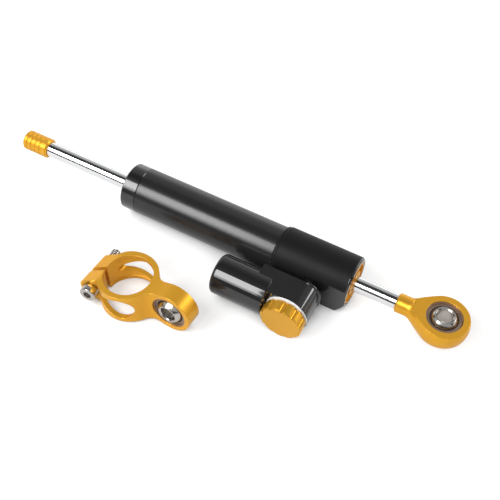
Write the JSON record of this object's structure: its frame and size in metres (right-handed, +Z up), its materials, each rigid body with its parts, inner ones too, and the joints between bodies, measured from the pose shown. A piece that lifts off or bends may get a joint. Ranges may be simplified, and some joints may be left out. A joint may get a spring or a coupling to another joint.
{
  "type": "steering damper",
  "caption": "Motorcycle steering damper: through-rod hydraulic tube with side reservoir, click adjuster knob, spherical rod eye and a separate split clamp with its own spherical bearing.",
  "frame": {"origin": "middle of the tube's visible length on the rod axis", "axes": "+X along the rod to the rod eye, -Y to the adjuster knob, +Z up as the damper lies on its collar and knob"},
  "size_m": [0.2601, 0.0841, 0.0272],
  "materials": {
    "gold_anodised": "gold anodised, satin",
    "black_anodised": "black anodised, glossy",
    "black_satin": "black anodised, satin",
    "chrome": "hard chrome, polished",
    "steel": "turned steel",
    "bare_aluminium": "turned, bare",
    "bronze": "plain bearing bronze",
    "brass": "turned brass",
    "rubber": "moulded",
    "nylon": "turned nylon",
    "liner": "woven bearing liner"
  },
  "bodies": {
    "damper_body": {"outer_tube": "black_satin", "tube_end_cap": "black_anodised", "end_cap_bush": "bronze", "end_cap_seal": "rubber", "end_cap_o_ring": "rubber", "head_block": "black_anodised", "head_o_ring": "rubber", "head_bush": "bronze", "head_seal": "rubber", "gland_nut": "gold_anodised", "wiper_seal": "rubber", "reservoir_plug": "black_anodised", "plug_o_ring": "rubber", "plug_circlip": "steel", "bleed_screw": "steel", "knob_washer": "nylon", "adjuster_bush": "brass", "valve_seat": "brass", "detent_ball": "steel", "detent_spring": "steel"},
    "piston_band": {"piston_ring": "nylon"},
    "rod_assembly": {"rod": "chrome", "piston": "bare_aluminium", "piston_circlips": "steel", "rod_stop": "gold_anodised", "rod_end": "gold_anodised", "eye_race": "bronze", "eye_snap_rings": "steel"},
    "eye_liner": {"eye_liner": "liner"},
    "eye_ball": {"eye_ball": "steel"},
    "adjuster": {"knob": "gold_anodised", "knob_stem": "steel", "stem_o_ring": "rubber"},
    "needle": {"metering_needle": "steel"},
    "floating_piston": {"floating_piston": "bare_aluminium", "floating_piston_o_ring": "rubber"},
    "clamp": {"clamp_ring": "gold_anodised", "clamp_screw": "steel", "clamp_race": "bronze", "clamp_snap_rings": "steel"},
    "clamp_liner": {"clamp_liner": "liner"},
    "clamp_ball": {"clamp_ball": "steel"}
  },
  "joints": [
    {"name": "rod_slide", "type": "slide", "parent": "damper_body", "child": "piston_band", "axis": [1, 0, 0], "range_m": [-0.0225, 0.053]},
    {"name": "rod_spin", "type": "hinge", "parent": "piston_band", "child": "rod_assembly", "pos_m": [0, 0, 0], "axis": [1, 0, 0], "continuous": true},
    {"name": "rod_eye_turn", "type": "hinge", "parent": "rod_assembly", "child": "eye_liner", "pos_m": [0.1333, 0, 0], "axis": [0, 0, 1], "continuous": true},
    {"name": "rod_eye_tilt", "type": "hinge", "parent": "eye_liner", "child": "eye_ball", "pos_m": [0.1333, 0, 0], "axis": [0, 1, 0], "range_deg": [-12, 12]},
    {"name": "knob_turn", "type": "hinge", "parent": "damper_body", "child": "adjuster", "pos_m": [0.0641, 0, 0], "axis": [0, -0.9978, -0.0658], "range_deg": [0, 300]},
    {"name": "needle_lift", "type": "slide", "parent": "damper_body", "child": "needle", "axis": [0, -0.9978, -0.0658], "range_m": [0, 0.00085]},
    {"name": "float_slide", "type": "slide", "parent": "damper_body", "child": "floating_piston", "axis": [1, 0, 0], "range_m": [-0.006, 0.006]},
    {"name": "clamp_lift", "type": "slide", "parent": "damper_body", "child": "clamp", "axis": [0, 0, 1], "range_m": [0, 0.06]},
    {"name": "clamp_eye_turn", "type": "hinge", "parent": "clamp", "child": "clamp_liner", "pos_m": [0.01518, -0.05646, -0.0019], "axis": [-0.0523, -0.9986, 0], "continuous": true},
    {"name": "clamp_eye_tilt", "type": "hinge", "parent": "clamp_liner", "child": "clamp_ball", "pos_m": [0.01518, -0.05646, -0.0019], "axis": [0.9952, -0.0522, 0.0829], "range_deg": [-12, 12]}
  ],
  "couplings": [
    {"joint": "needle_lift", "follows": "knob_turn", "m_per_rad": 0.00015915}
  ]
}
